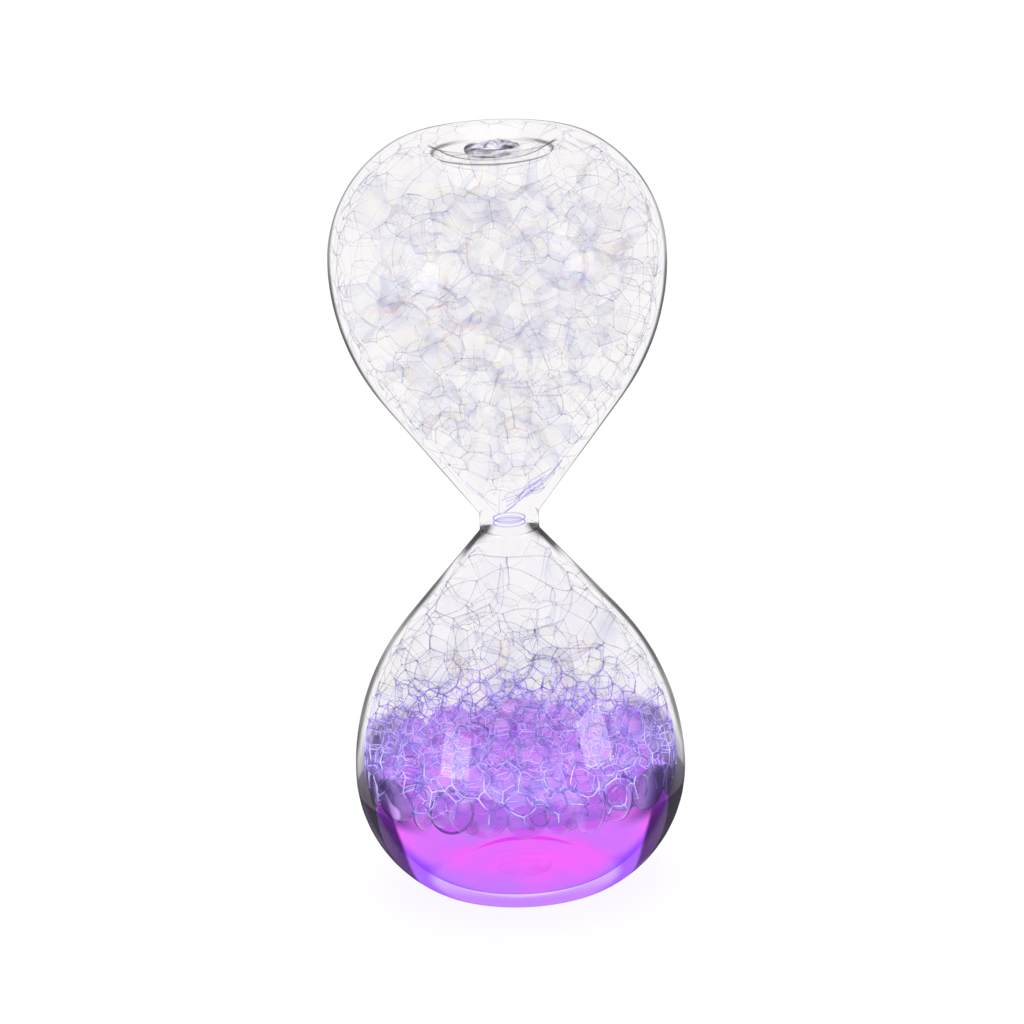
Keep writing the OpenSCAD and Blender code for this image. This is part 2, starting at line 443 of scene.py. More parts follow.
def filled(finish, edge, body, level):
    """The body with liquid behind it up to the level, and how much of it is the painted shade of the
    flank.
    """
    up = height(finish)
    off_axis = rise(finish, radius(finish), *foot_radii)
    below = rise(finish, up, level - 0.6 * MM, level + 0.6 * MM, 1.0, 0.0) * off_axis
    rim = rise(finish, edge, 0.50, 0.61) * below
    violet = mix(finish, rise(finish, up, *rim_heights), clear(finish, RIM_LOW), clear(finish, RIM_HIGH))
    body = mix(finish, rim, body, violet)
    # Painted shade: the dark flank reaches a few millimetres above the waterline.
    shade_above_water = rise(finish, up, level + 1 * MM, level + 7 * MM, 1.0, 0.0) * off_axis * 0.6
    reach = finish.add("ShaderNodeMath", {"operation": "MAXIMUM"}, {0: below, 1: shade_above_water})
    flank = rise(finish, edge - tipped(finish) * 0.9, 0.44, 0.475) * reach
    patches = rise(finish, cloud(finish, 12 * MM, 1.0), 0.5, 0.62)
    # Painted sheen: patches of lilac light on the dark flank.
    sheen = hump(finish, edge, 0.74, 0.84, 0.93) * patches * 0.45
    outer = mix(finish, sheen, clear(finish, FLANK_OUTER), clear(finish, FLANK_SHEEN))
    purple = mix(finish, rise(finish, edge, 0.56, 0.68), clear(finish, FLANK_INNER), outer)
    body = mix(finish, flank, body, purple)
    return mix(finish, shade_patches(finish, edge, level), body, clear(finish, PATCH_SHADE)), flank


# %% [markdown]
# ## One finish for both bulbs
# Both bulbs share the line at the edge, which is painted shade, and the web. The line is broader over some
# heights, and just below the waist, where the wall is thick, it widens to a band of painted shade. Hand
# work leaves faint waves in the glass, which a bump gives to the gloss. The lower bulb adds what its
# liquid shows.

# %% The outer side of the wall
waist_dark = (waist.z - 8 * MM, waist.z - 3 * MM, waist.z - 0.3 * MM)
bottom_clear = (7 * MM, 13 * MM)
fade = 8 * MM


def glass(name, web_low, gloss_share, broad, level=None):
    """Clear glass, with liquid behind it up to the level if there is one."""
    finish = Finish(name)
    edge = facing(finish)
    up = height(finish)
    patches = rise(finish, cloud(finish, 18 * MM, 2.0), 0.35, 0.65, 0.4, 1.0)
    low, high, amount = broad
    broader = rise(finish, up, low, low + fade) * rise(finish, up, high, high + fade, 1.0, 0.0) * amount
    line = rise(finish, edge + broader, 0.83, 0.93) * patches * 0.95
    # Painted shade: the dark band on the thick wall just below the waist.
    waist_shade = hump(finish, up, *waist_dark) * rise(finish, edge, 0.50, 0.68) * 1.6
    shade = line + waist_shade
    if level:
        shade = shade * rise(finish, up, *bottom_clear)
    shade = finish.add("ShaderNodeClamp", {}, {"Value": shade})
    web = foam_web(finish, edge) * rise(finish, up, web_low, web_low + fade)
    pane = mix(finish, web, clear(finish, GLASS_TINT), clear(finish, WEB_TINT))
    if level:
        pane = mix(finish, rise(finish, up, level - 1 * MM, level, 1.0, 0.0), pane, clear(finish))
    body = mix(finish, shade, pane, clear(finish, GLASS_SHADE))
    share = rise(finish, edge, 0.5, 1.0, gloss_share, 0.10)
    if level:
        body, flank = filled(finish, edge, body, level)
        share = share * (1 - flank * 0.75)
    waves = cloud(finish, 9 * MM, 1.0, (1, 1, 0.4))
    bump = finish.add("ShaderNodeBump", {}, {"Strength": 0.05, "Distance": 1 * MM, "Height": waves})
    gloss = gleam(finish, (0.95, 0.95, 1.0), 0.07, {"Normal": bump})
    return finish.done(mix(finish, share, body, gloss))


# %% The inner side of the wall, and where glass melts into glass
# The tint of the painted shade under the hollow's rim.
INNER_RIM_SHADE = (0.2, 0.17, 0.17)


def inner_glass(name, rim_height):
    """The inside of a wall, with a line of painted shade under the rim of the hollow end."""
    finish = Finish(name)
    up = height(finish)
    line = hump(finish, up, rim_height - 0.5 * MM, rim_height, rim_height + 0.4 * MM)
    near_axis = rise(finish, radius(finish), 15 * MM, 16 * MM, 1.0, 0.0)
    shade = line * near_axis * rise(finish, facing(finish), 0.25, 0.5) * 0.9
    return finish.done(mix(finish, shade, clear(finish), clear(finish, INNER_RIM_SHADE)))


def melted_joint():
    """A face between two melted pieces, which can't be seen."""
    finish = Finish("melted_joint")
    return finish.done(clear(finish))


# %% Finishes of the two bulbs
pool_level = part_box("liquid")[1].z
upper_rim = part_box("upper_bulb")[1].z - 2.7 * MM
web_gap = 6 * MM
upper_broad = (waist.z + 24 * MM, upper_rim - 16 * MM, 0.05)
lower_broad = (pool_level + 4 * MM, waist.z - 16 * MM, 0.10)
upper_finish = glass("clear_glass", waist.z + web_gap, 0.012, upper_broad)
lower_finish = glass("filled_glass", pool_level + web_gap, 0.045, lower_broad, pool_level)
inner_finish = inner_glass("inner_glass", upper_rim)
joint_finish = melted_joint()
print("the waterline is at", round(pool_level, 4), "and the hollow's rim at", round(upper_rim, 4))

# %% [markdown]
# ## Blowing the bulbs
# Each bulb is one turned shell: the outer outline up to the pole, then the inner outline back. The
# spin operator sweeps it round the axis. The ring where it meets the waist is melted to its
# neighbour on the real glass, so that face gets a finish that can't be seen.

# %% Turn the two bulbs
def turned(points, steps=96, closed=True):
    """A shape of revolution from an outline of radius and height."""
    shape = bmesh.new()
    verts = [shape.verts.new((point[0], 0, point[1])) for point in points]
    edges = [shape.edges.new(pair) for pair in zip(verts, verts[1:])]
    if closed:
        edges.append(shape.edges.new((verts[-1], verts[0])))
    spin = {"axis": (0, 0, 1), "cent": (0, 0, 0), "angle": math.tau, "steps": steps, "use_merge": True}
    bmesh.ops.spin(shape, geom=verts + edges, **spin)
    bmesh.ops.remove_doubles(shape, verts=shape.verts[:], dist=0.005 * MM)
    bmesh.ops.recalc_face_normals(shape, faces=shape.faces[:])
    return shape


def evened(points, step=0.8 * MM, passes=3):
    """The same outline with points a step apart, and its small corners eased."""
    spots = [points[0].copy()]
    for start, end in zip(points, points[1:]):
        pieces = max(1, round((end - start).length / step))
        spots += [start.lerp(end, part / pieces) for part in range(1, pieces + 1)]
    for _ in range(passes):
        inner = zip(spots, spots[1:], spots[2:])
        spots[1:-1] = [(before + 2 * spot + after) / 4 for before, spot, after in inner]
    return spots


def blow(name, node, outside, inside, outer_finish):
    """One bulb, from its outer outline and its inner one."""
    outer = [(point.x, point.y) for point in evened(outside.points)]
    inner = [(point.x, point.y) for point in evened(inside.points)]
    pole_first = outer[0][1] < outside.middle < outside.neck
    if not pole_first:
        outer.reverse()
        inner.reverse()
    outline = [(0, outer[0][1])] + outer + inner[::-1] + [(0, inner[0][1])]
    shape = turned(outline, closed=False)
    middle = Vector((0, 0, outside.middle))
    for face in shape.faces:
        spot = face.calc_center_median()
        if abs(spot.z - outside.neck) < HAIR:
            face.material_index = 2
        elif face.normal.dot(spot - middle) < 0:
            face.material_index = 1
    finishes = (outer_finish, inner_finish, joint_finish)
    return piece(name, shape, finishes, "glass", (node,))


blow("blown_upper_bulb", "upper_bulb", upper_outside, upper_inside, upper_finish)
blow("blown_lower_bulb", "lower_bulb", lower_outside, lower_inside, lower_finish)

# %% [markdown]
# ## Growing foam
# Every bubble in a foam presses on its neighbours, and flat soap films form where they meet. The
# same cells come from a set of seeded centres: each cell is a cube, cut once for every neighbour
# halfway between the two, or nearer the smaller one. Centres mirrored behind the glass cut the
# outer cells along the wall. Bubbles of the wanted size are thrown in at random, large ones first,
# and one is kept only where it does not crowd the others.

# %% Throw in the bubbles
ROUNDS = 10
LARGEST = 1.5  # of the wanted size, in the first round
SHRINK = 0.09  # what each round takes off that
CLOSENESS = 0.86  # how far two neighbours keep apart, of their two radii
INSET = 0.3  # how far a centre stays from the wall, of its radius
MIRROR_REACH = 2.6  # how near the wall a bubble gets an image, in its radii


def boxes_near(home):
    """The boxes of the search grid up to two steps from home."""
    near = range(-2, 3)
    return ((home[0] + x, home[1] + y, home[2] + z) for x in near for y in near for z in near)


def scatter(wall, low, high, size_at, throws, seed):
    """Seeded bubbles as (centre, radius) between two heights."""
    dice = random.Random(seed)
    widest = max(wall.arms)
    grid = 6 * MM
    boxes = {}
    kept = []
    for turn in range(ROUNDS):
        share = LARGEST - SHRINK * turn
        for _ in range(throws // ROUNDS):
            flat = [dice.uniform(-widest, widest) for _ in range(2)]
            spot = Vector((*flat, dice.uniform(low, high)))
            radius = size_at(spot) * share
            margin = INSET * radius
            fits = spot.xy.length < widest and wall.room(spot) > margin
            fits = fits and low + margin < spot.z < high - margin
            if not fits:
                continue
            home = tuple(int(part // grid) for part in spot)
            crowd = (bubble for box in boxes_near(home) for bubble in boxes.get(box, ()))
            if all((spot - other).length > CLOSENESS * (radius + size) for other, size in crowd):
                boxes.setdefault(home, []).append((spot, radius))
                kept.append((spot, radius))
    return kept


def with_mirrors(bubbles, wall, low, high):
    """The bubbles, then the images of those near the wall, the top or the bottom."""
    images = []
    for spot, radius in bubbles:
        reach = MIRROR_REACH * radius
        if wall.room(spot) < reach:
            images.append((wall.mirrored(spot), radius))
        if spot.z - low < reach:
            images.append((Vector((spot.x, spot.y, 2 * low - spot.z)), radius))
        if high - spot.z < reach:
            images.append((Vector((spot.x, spot.y, 2 * high - spot.z)), radius))
    return bubbles + images


# %% Cut one cell out of a cube
CUBE_SIDE = 7  # in radii of the bubble
NEIGHBOURS = 46


def cell(index, bubbles, tree):
    """The cell of one bubble, whose faces know the neighbour on their other side."""
    spot, radius = bubbles[index]
    shape = bmesh.new()
    side = shape.faces.layers.int.new("side")
    bmesh.ops.create_cube(shape, size=CUBE_SIDE * radius, matrix=Matrix.Translation(spot))
    for face in shape.faces:
        face[side] = -1
    for _, other, distance in tree.find_n(spot, NEIGHBOURS)[1:]:
        other_spot, other_radius = bubbles[other]
        offset = (distance ** 2 + radius ** 2 - other_radius ** 2) / (2 * distance)
        if offset > max((vert.co - spot).length for vert in shape.verts):
            continue
        away = (other_spot - spot) / distance
        plane = {"plane_co": spot + away * offset, "plane_no": away, "dist": 1e-7}
        everything = shape.verts[:] + shape.edges[:] + shape.faces[:]
        cut = bmesh.ops.bisect_plane(shape, geom=everything, clear_outer=True, **plane)
        rim = [part for part in cut["geom_cut"] if isinstance(part, bmesh.types.BMEdge)]
        if not shape.verts:
            break
        if len(rim) > 2:
            for face in bmesh.ops.contextual_create(shape, geom=rim)["faces"]:
                face[side] = other
    return shape


# %% [markdown]
# ## From cells to films and borders
# Two cells share each film, so it is taken from one of them only. Merged into one net, the films
# meet three at a time along thin channels of liquid. Soap film pulls itself tight, so the net is
# split finer and smoothed, while its rim stays on the glass. Each film also gets a number of its
# own, which its finish uses to make some films thicker than others.

# %% Join the films into one net
merge_gap = 0.04 * MM


def joined(bubbles, everyone):
    """The films between the bubbles; everyone also holds their mirror images."""
    tree = KDTree(len(everyone))
    for index, (spot, _) in enumerate(everyone):
        tree.insert(spot, index)
    tree.balance()
    net = bmesh.new()
    net.faces.layers.int.new("side")
    carrier = bpy.data.meshes.new("carrier")
    for index in range(len(bubbles)):
        shape = cell(index, everyone, tree)
        side = shape.faces.layers.int["side"]
        spare = [face for face in shape.faces if not index < face[side] < len(bubbles)]
        bmesh.ops.delete(shape, geom=spare, context="FACES")
        shape.to_mesh(carrier)
        shape.free()
        net.from_mesh(carrier)
    bpy.data.meshes.remove(carrier)
    bmesh.ops.remove_doubles(net, verts=net.verts[:], dist=merge_gap)
    bmesh.ops.dissolve_degenerate(net, edges=net.edges[:], dist=merge_gap)
    return net


def number_parts(net, seed):
    """A random number for each film, and a count for each border."""
    film = net.faces.layers.float.new("film")
    border = net.edges.layers.int.new("border")
    dice = random.Random(seed)
    for face in net.faces:
        face[film] = dice.random()
    for number, edge in enumerate(net.edges):
        edge[border] = number + 1 if len(edge.link_faces) != 2 else 0


# %% Pull the films tight
rim_room = 1.2 * MM


def tighten(net, wall, passes):
    """Splits the net finer and smooths it, while its rim slides along the wall."""
    bmesh.ops.bisect_edges(net, edges=net.edges[:], cuts=2)
    bmesh.ops.poke(net, faces=net.faces[:])
    rim = [vert for vert in net.verts if any(len(edge.link_faces) == 1 for edge in vert.link_edges)]
    rim = [vert for vert in rim if wall.room(vert.co) < rim_room]
    every_way = {"use_axis_x": True, "use_axis_y": True, "use_axis_z": True}
    for _ in range(passes):
        bmesh.ops.smooth_vert(net, verts=net.verts[:], factor=0.5, **every_way)
        for vert in rim:
            vert.co = wall.onto(vert.co)
    for vert in net.verts:
        if wall.room(vert.co) < 0:
            vert.co = wall.onto(vert.co)


def foam_net(wall, low, high, bubbles, passes, seed):
    """The finished net of films between two heights."""
    net = joined(bubbles, with_mirrors(bubbles, wall, low, high))
    number_parts(net, seed)
    tighten(net, wall, passes)
    print(len(bubbles), "bubbles,", len(net.faces), "film faces")
    return net


# %% Follow the borders of the films
def chains(net):
    """Each border of the net as the ordered points along it."""
    border = net.edges.layers.int["border"]
    strands = {}
    for edge in net.edges:
        if edge[border]:
            strands.setdefault(edge[border], []).append(edge)
    for edges in strands.values():
        ends = {}
        for edge in edges:
            for vert in edge.verts:
                ends.setdefault(vert, []).append(edge)
        vert = next((vert for vert, near in ends.items() if len(near) == 1), None)
        if vert is None:
            continue
        points = [vert.co.copy()]
        used = set()
        while True:
            step = next((edge for edge in ends[vert] if edge not in used), None)
            if step is None:
                break
            used.add(step)
            vert = step.other_vert(vert)
            points.append(vert.co.copy())
        yield points


def threads(name, strands, thickness, finish, body):
    """Round threads along the strands, a little thicker where they meet."""
    curve = bpy.data.curves.new(name, "CURVE")
    curve.dimensions = "3D"
    curve.bevel_depth = 1.0
    curve.bevel_resolution = 0
    curve.use_fill_caps = True
    for points in strands:
        spline = curve.splines.new("POLY")
        spline.points.add(len(points) - 1)
        for index, point in enumerate(points):
            spline.points[index].co = (*point, 1)
            share = abs(2 * index / (len(points) - 1) - 1)
            spline.points[index].radius = thickness(point) * (1 + 0.5 * share)
    helper = bpy.data.objects.new(name + "_curve", curve)
    scene.collection.objects.link(helper)
    mesh = bpy.data.meshes.new_from_object(helper.evaluated_get(bpy.context.evaluated_depsgraph_get()))
    bpy.data.objects.remove(helper)
    bpy.data.curves.remove(curve)
    shape = bmesh.new()
    shape.from_mesh(mesh)
    bpy.data.meshes.remove(mesh)
    return piece(name, shape, (finish,), body)


# %% [markdown]
# ## Finishes of the foam
# A soap film is almost clear: edge-on it greys the light a little, and its thickness shows as pale
# rainbow tints. The channels where films meet are tiny rods of liquid, which draw the lavender
# lines, with painted shade where a rod turns edge-on. Nearer the purple liquid both take more of its
# colour, and there the channels are fat enough to catch light, which a painted glow gives them.

# %% Finish of the films
FILM_GOLD = (0.93, 0.90, 0.76)
FILM_ROSE = (0.93, 0.83, 0.87)
FILM_BLUE = (0.78, 0.80, 0.90)
WET_ROSE = (0.99, 0.955, 0.985)
WET_BLUE = (0.965, 0.95, 0.985)
WET_EDGE = (0.90, 0.84, 0.965)
FOAM_GLOW = (0.80, 0.74, 1.0)


def own_number(finish):
    """The number that each film was given, from 0 to 1."""
    return finish.add("ShaderNodeAttribute", {"attribute_name": "film"}, {}, output="Fac")


def dry_film(finish, edge, own, strength):
    """A thin film: gold, rose and blue in places, and stronger in some films than in others."""
    mist = rise(finish, cloud(finish, 8 * MM, 2.0), 0.40, 0.62, 0.25, 1.15)
    veil = rise(finish, edge, 0.0, 1.0, 0.3, 1.0) * own * own * mist * strength
    gold = mix(finish, veil, clear(finish), clear(finish, FILM_GOLD))
    rose = mix(finish, veil, clear(finish), clear(finish, FILM_ROSE))
    warm = mix(finish, rise(finish, cloud(finish, 6 * MM, 1.0), 0.46, 0.56), rose, gold)
    cool = mix(finish, veil, clear(finish), clear(finish, FILM_BLUE))
    return mix(finish, rise(finish, cloud(finish, 4 * MM, 1.0), 0.40, 0.55), warm, cool)


def film_finish(name, strength, wet_low, wet_high):
    """Cloudy films with a painted glow below wet_low, and clear ones above wet_high."""
    finish = Finish(name)
    edge = facing(finish)
    own = own_number(finish)
    dry = dry_film(finish, edge, own, strength)
    rainbow = mix(finish, own, clear(finish, WET_ROSE), clear(finish, WET_BLUE))
    thin = mix(finish, edge, rainbow, clear(finish, WET_EDGE))
    glowing_milk = milky_glowing(finish, FOAM_GLOW, FOAM_GLOW, 0.5)
    wet = mix(finish, own * own * 0.13, thin, glowing_milk)
    return finish.done(mix(finish, rise(finish, height(finish), wet_low, wet_high), wet, dry))


# %% Finish of the borders
BORDER_SKIN = (0.82, 0.78, 1.0)
BORDER_PURPLE = (0.55, 0.46, 0.85)


def border_finish(name, light, dark, wet_low, wet_high):
    """Grey rods above wet_high, with painted shade where they turn edge-on, and purple ones below wet_low
    that a painted glow lights in places.
    """
    finish = Finish(name)
    edge = facing(finish)
    broken = rise(finish, cloud(finish, 9 * MM, 1.0), 0.40, 0.60, 0.35, 1.0)
    # Painted shade: the rod darkens where it turns edge-on.
    rod = mix(finish, edge * broken, clear(finish, light), clear(finish, dark))
    lit = rise(finish, cloud(finish, 3 * MM, 1.0), 0.35, 0.65, 0.1, 0.6)
    lit = lit * rise(finish, edge, 0.3, 0.9, 1.0, 0.2)
    # Painted glow: the purple rods light up in places.
    bright = milky_glowing(finish, BORDER_SKIN, FOAM_GLOW, 0.45)
    wet = mix(finish, lit, clear(finish, BORDER_PURPLE), bright)
    return finish.done(mix(finish, rise(finish, height(finish), wet_low, wet_high), wet, rod))


# %% [markdown]
# ## The upper foam
# Drained foam fills the upper bulb: wide cells towards its top on one side, and finer ones on the
# other side and down in the cone. Only the last few cells over the waist are wide again.

# %% Grow the upper foam
upper_gap = 0.3 * MM
upper_wall = Wall("upper_bulb", inside=True, gap=upper_gap)
upper_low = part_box("upper_foam")[0].z - 4 * MM
upper_high = upper_inside.points[-1].y - upper_gap


def upper_size(spot):
    """The wanted radius of a bubble, which the wall's side of the foam sets by height and side."""
    up = (spot.z - upper_low) / (upper_high - upper_low)
    left = 0.5 - spot.x / (2 * max(upper_wall.arms))
    shell = max(1 - upper_wall.room(spot) / (5 * MM), 0)
    inner = 2.8 + 1.2 * up
    outer = 1.9 + 5.0 * up * left + 2.5 * max(1 - up / 0.12, 0)
    return (inner * (1 - shell) + outer * shell) * MM


all_dry = (-1, 0)  # wet only below the floor
upper_film = film_finish("upper_film", 0.76, *all_dry)
upper_rods = border_finish("upper_rods", (0.98, 0.98, 0.99), (0.70, 0.69, 0.77), *all_dry)
bubbles = scatter(upper_wall, upper_low, upper_high, upper_size, 60000, 11)
upper_net = foam_net(upper_wall, upper_low, upper_high, bubbles, 5, 12)
upper_lines = list(chains(upper_net))
piece("upper_foam_films", upper_net, (upper_film,), "upper_foam", ("upper_foam",))


def upper_thickness(spot):
    """Borders are thicker near the wall."""
    return (0.025 + 0.045 * max(1 - upper_wall.room(spot) / (4 * MM), 0)) * MM


threads("upper_foam_borders", upper_lines, upper_thickness, upper_rods, "upper_foam")

# %% [markdown]
# ## The foam in the lower bulb
# The lower foam is one net from the pool up to the waist, so no seam shows between the dense wet
# foam and the dry foam above it. Its bubbles are smallest in the middle of the wet layer and
# largest by the waist. Once the net is smooth it is parted at the height where the model parts it.
# Each film goes whole to one side or the other, so the two pieces still meet without a gap.

# %% Grow the lower foam
lower_wall = Wall("lower_bulb", inside=True, gap=0.3 * MM)
wet_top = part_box("wet_foam")[1].z
lower_low = pool_level + 0.5 * MM
lower_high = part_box("lower_foam")[1].z


def lower_size(spot):
    """The wanted radius of a bubble, by height and by how far it is from the wall."""
    up = (spot.z - wet_top) / (lower_high - wet_top)
    deep = min(lower_wall.room(spot) / (10 * MM), 1)
    if up > 0:
        return (2.5 + 4.0 * min(up, 0.6) + 0.6 * deep) * MM
    down = -up * (lower_high - wet_top) / (wet_top - pool_level)
    return (2.3 - 1.0 * min(down * 2, 1) + 0.9 * max(down - 0.5, 0) + 1.2 * deep) * MM


def parted(net, keep):
    """A copy of the net that holds only the faces to keep."""
    part = net.copy()
    spare = [face for face in part.faces if not keep(face.calc_center_median())]
    bmesh.ops.delete(part, geom=spare, context="FACES")
    return part


wet_film = film_finish("wet_film", 0.8, pool_level + 5 * MM, wet_top)
rod_change = 6 * MM
rod_heights = (wet_top - rod_change, wet_top + rod_change)
wet_rods = border_finish("wet_rods", (0.93, 0.93, 0.96), (0.64, 0.63, 0.72), *rod_heights)

bubbles = scatter(lower_wall, lower_low, lower_high, lower_size, 90000, 21)
lower_net = foam_net(lower_wall, lower_low, lower_high, bubbles, 4, 22)
lower_lines = list(chains(lower_net))
dry_lines = [points for points in lower_lines if points[0].z >= wet_top]
wet_lines = [points for points in lower_lines if points[0].z < wet_top]
dry_net = parted(lower_net, lambda spot: spot.z >= wet_top)
wet_net = parted(lower_net, lambda spot: spot.z < wet_top)
lower_net.free()
piece("lower_foam_films", dry_net, (wet_film,), "liquid_pool", ("lower_foam",))
piece("wet_foam_films", wet_net, (wet_film,), "liquid_pool", ("wet_foam",))


def lower_thickness(spot):
    """Borders are thicker near the wall and down in the wet layer."""
    shell = max(1 - lower_wall.room(spot) / (4 * MM), 0)
    wetness = min(max((wet_top - spot.z) / (8 * MM), 0), 1)
    return (0.05 + 0.05 * shell + 0.035 * wetness) * MM


threads("lower_foam_borders", dry_lines, lower_thickness, wet_rods, "liquid_pool")
threads("wet_foam_borders", wet_lines, lower_thickness, wet_rods, "liquid_pool")

# %% [markdown]
# ## The purple liquid
# The pool fills the bottom like a thick lens. Light from straight behind comes through it bright
# magenta, and violet where the glass curves under. A mix of those two tints does this, by height,
# with a glow over the floor and slow cloudy patches. The dark flanks are already on the wall that
# stands around the pool, so its own side only fades where it turns away and draws no second edge.

# %% Finish of the liquid
LIQUID_VIOLET = (0.70, 0.45, 1.0)
LIQUID_MAGENTA = (0.99, 0.34, 1.0)
TOP_PALE = (0.86, 0.6, 1.0)
TOP_DEEP = (0.6, 0.4, 0.95)


def liquid_finish():
    """Two tints by height, and clear where the side turns away."""
    finish = Finish("purple_liquid")
    up = height(finish)
    patches = (cloud(finish, 10 * MM, 1.0, (1, 1, 0.5)) - 0.5) * 1.6
    patches = patches * rise(finish, up, 8 * MM, 14 * MM, 1.0, 0.0)
    floor_glow = rise(finish, radius(finish), 14 * MM, 19 * MM, 0.75, 0.0)
    floor_glow = floor_glow * rise(finish, up, 8 * MM, 10 * MM, 1.0, 0.0)
    glow = rise(finish, up, 4.5 * MM, 15 * MM) + floor_glow + patches
    glow = finish.add("ShaderNodeClamp", {}, {"Value": glow})
    body = mix(finish, glow, clear(finish, LIQUID_VIOLET), clear(finish, LIQUID_MAGENTA))
    fading = rise(finish, facing(finish), 0.72, 1.0, 0.0, 0.6) * rise(finish, up, 5 * MM, 9 * MM)
    return finish.done(mix(finish, fading, body, clear(finish)))


def top_finish():
    """The rippled top of the pool, between two tints, with a little gloss."""
    finish = Finish("liquid_top")
    ripple = cloud(finish, 6 * MM, 2.0)
    bump = finish.add("ShaderNodeBump", {}, {"Strength": 0.4, "Distance": 1 * MM, "Height": ripple})
    body = mix(finish, rise(finish, ripple, 0.35, 0.65), clear(finish, TOP_PALE), clear(finish, TOP_DEEP))
    return finish.done(mix(finish, 0.2, body, shine(finish, (0.75, 0.6, 1.0), 0.15, {"Normal": bump})))


# %% Shape of the liquid
liquid_gap = 1.1 * MM


def pool_outline(wall, level):
    """The wall's outline from its lower pole up to the level, and across to the axis."""
    side = [spot for spot in wall.outline() if spot.y < level]
    side.append(Vector((wall.onto(Vector((side[-1].x, 0, level))).x, level)))
    return [(0, side[0].y)] + [tuple(spot) for spot in evened(side)] + [(0, level)]


liquid_wall = Wall("lower_bulb", inside=True, gap=liquid_gap)
liquid_shape = turned(pool_outline(liquid_wall, pool_level), closed=False)
for face in liquid_shape.faces:
    face.material_index = 1 if face.calc_center_median().z > pool_level - HAIR else 0
liquid_finishes = (liquid_finish(), top_finish())
piece("purple_liquid", liquid_shape, liquid_finishes, "liquid_pool", ("liquid",))

# %% [markdown]
# ## Round bubbles at the waterline
# Where foam meets liquid the bubbles are free to be round. Large ones sit between the two, and
# small ones gather against the glass. Each is a sphere, nearly clear in its middle and cloudy in
# places with a painted glow, with a purple ring of painted shade towards its outline and a narrow
# painted highlight inside that. The model says where they are: each of its separate solids becomes
# one smooth bubble in the same box.

# %% Finish of the bubbles
BUBBLE_CLEAR = (0.90, 0.56, 0.92)
BUBBLE_RING_SHADE = (0.18, 0.08, 0.34)
BUBBLE_MILK = (0.66, 0.54, 1.0)
BUBBLE_GLOW = (0.62, 0.50, 1.0)


def bubble_finish(name):
    """A clear middle, a dark ring of painted shade, some cloudy skin with a painted glow and a thin gloss.
    """
    finish = Finish(name)
    edge = facing(finish)
    # Painted shade: a dark purple ring towards the outline.
    ring = hump(finish, edge, 0.34, 0.72, 1.1)
    body = mix(finish, ring, clear(finish, BUBBLE_CLEAR), clear(finish, BUBBLE_RING_SHADE))
    glowing_milk = milky_glowing(finish, BUBBLE_MILK, BUBBLE_GLOW, 0.4)
    clouds = rise(finish, cloud(finish, 4 * MM, 1.0), 0.42, 0.72, 0.01, 0.18)
    # Painted highlight: a narrow pale ring of glowing skin inside the dark one.
    body = mix(finish, clouds + hump(finish, edge, 0.30, 0.46, 0.58) * 0.35, body, glowing_milk)
    gloss = gleam(finish, (0.95, 0.92, 1.0), 0.08)
    return finish.done(mix(finish, rise(finish, edge, 0.0, 1.0, 0.04, 0.1), body, gloss))


# %% Bubbles in the model's own places
def islands(node):
    """The separate solids of a node, as the box of each."""
    shape = bmesh.new()
    shape.from_mesh(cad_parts[node].data)
    bmesh.ops.remove_doubles(shape, verts=shape.verts[:], dist=0.001 * MM)
    left = set(shape.verts)
    boxes = []
    while left:
        front = [left.pop()]
        group = []
        while front:
            vert = front.pop()
            group.append(vert.co.copy())
            for edge in vert.link_edges:
                other = edge.other_vert(vert)
                if other in left:
                    left.remove(other)
                    front.append(other)
        low = Vector([min(co[axis] for co in group) for axis in range(3)])
        high = Vector([max(co[axis] for co in group) for axis in range(3)])
        boxes.append((low, high))
    shape.free()
    return boxes


def beads(name, node, finish, body):
    """One smooth bubble in the box of each separate solid of the node."""
    shape = bmesh.new()
    for low, high in islands(node):
        middle = (low + high) / 2
        ball = Matrix.Translation(middle) @ Matrix.Diagonal((*(high - low) / 2, 1))
        bmesh.ops.create_uvsphere(shape, u_segments=24, v_segments=16, radius=1, matrix=ball)
    return piece(name, shape, (finish,), body, (node,))


bubble_skin = bubble_finish("bubble_skin")
beads("round_surface_bubbles", "surface_bubbles", bubble_skin, "liquid_pool")
beads("round_rim_bubbles", "rim_bubbles", bubble_skin, "rim_bubbles")

# %% [markdown]
# ## Larger bubbles that the wall flattens
# A last row of bubbles lies along the waterline, pressed flat by the glass. The model has no
# solids for them. Each starts as a squeezed sphere, and is then bent to the curve of the wall.

# %% Flattened bubbles
wall_radius = 30 * MM
bead_sink = 0.75 * MM
bead_half = 0.55 * MM
bead_tallest = 4.2 * MM


